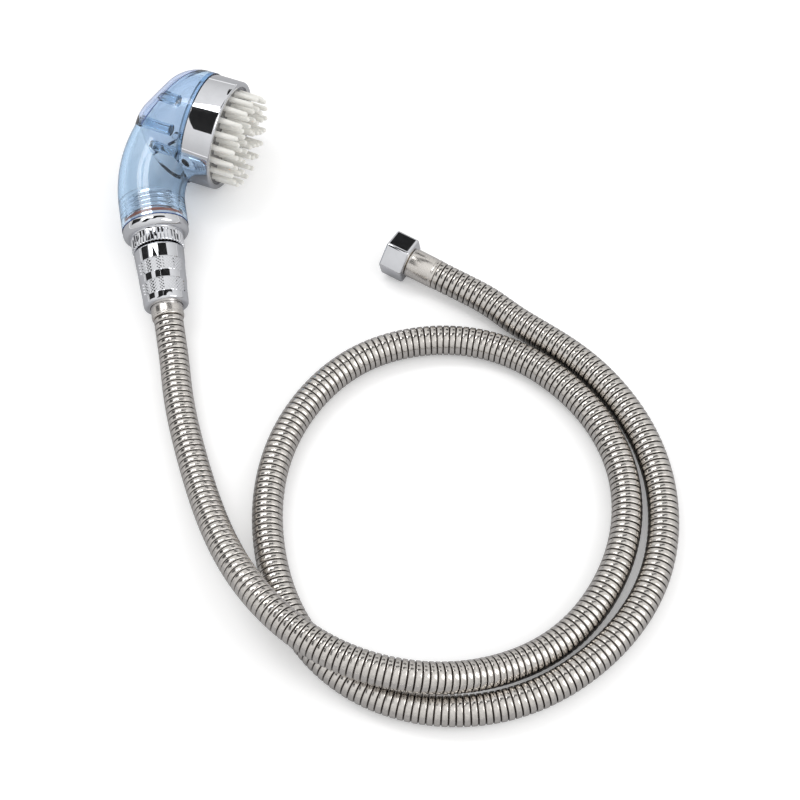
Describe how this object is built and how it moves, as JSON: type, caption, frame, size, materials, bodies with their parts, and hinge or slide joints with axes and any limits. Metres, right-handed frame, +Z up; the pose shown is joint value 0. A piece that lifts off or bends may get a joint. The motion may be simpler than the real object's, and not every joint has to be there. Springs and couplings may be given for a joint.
{
  "type": "handheld bath sprayer",
  "caption": "Handheld pet bath sprayer: a see-through round brush head on a short angled handle, with a ribbed steel hose between a knurled cone nut and a hexagon nut.",
  "frame": {"origin": "on the table, under the middle of the handset's bounding box", "axes": "+Z up; +X the way the brush faces; +Y from the handle towards the head"},
  "size_m": [0.3832, 0.3337, 0.0672],
  "materials": {
    "clear_blue": "clear light blue plastic, polished",
    "dark_blue": "see-through dark blue plastic, polished",
    "chrome": "mirror chrome plate",
    "mirror_plate": "mirror",
    "bristle": "soft off-white silicone",
    "hose_steel": "bright ribbed strip steel",
    "black_rubber": "matt black rubber",
    "orange_rubber": "orange-red rubber",
    "brass": "turned brass",
    "white_plastic": "white plastic"
  },
  "bodies": {
    "handset": {"body_shell": "clear_blue", "back_cover": "dark_blue", "head_ring": "chrome", "face_plate": "mirror_plate", "bristle_pad": "bristle", "face_gasket": "black_rubber", "water_spreader": "white_plastic", "inlet_collar": "chrome", "collar_oring": "orange_rubber", "inlet_washer": "black_rubber", "upper_slip_ring": "white_plastic", "upper_tail": "brass", "upper_ferrule": "chrome", "hose_casing": "hose_steel", "inner_tube": "black_rubber", "lower_ferrule": "chrome", "lower_tail": "brass", "lower_slip_ring": "white_plastic", "end_washer": "black_rubber"},
    "upper_nut": {"cone_nut": "chrome"},
    "tap_nut": {"hex_nut": "chrome"}
  },
  "joints": [
    {"name": "cone_nut_swivel", "type": "hinge", "parent": "handset", "child": "upper_nut", "pos_m": [0.01883, -0.06705, 0.01674], "axis": [0.5, -0.8536, -0.1464], "continuous": true},
    {"name": "tap_nut_swivel", "type": "hinge", "parent": "handset", "child": "tap_nut", "pos_m": [0.13824, -0.00154, 0.01382], "axis": [-0.9863, 0.1562, 0.0523], "continuous": true}
  ]
}
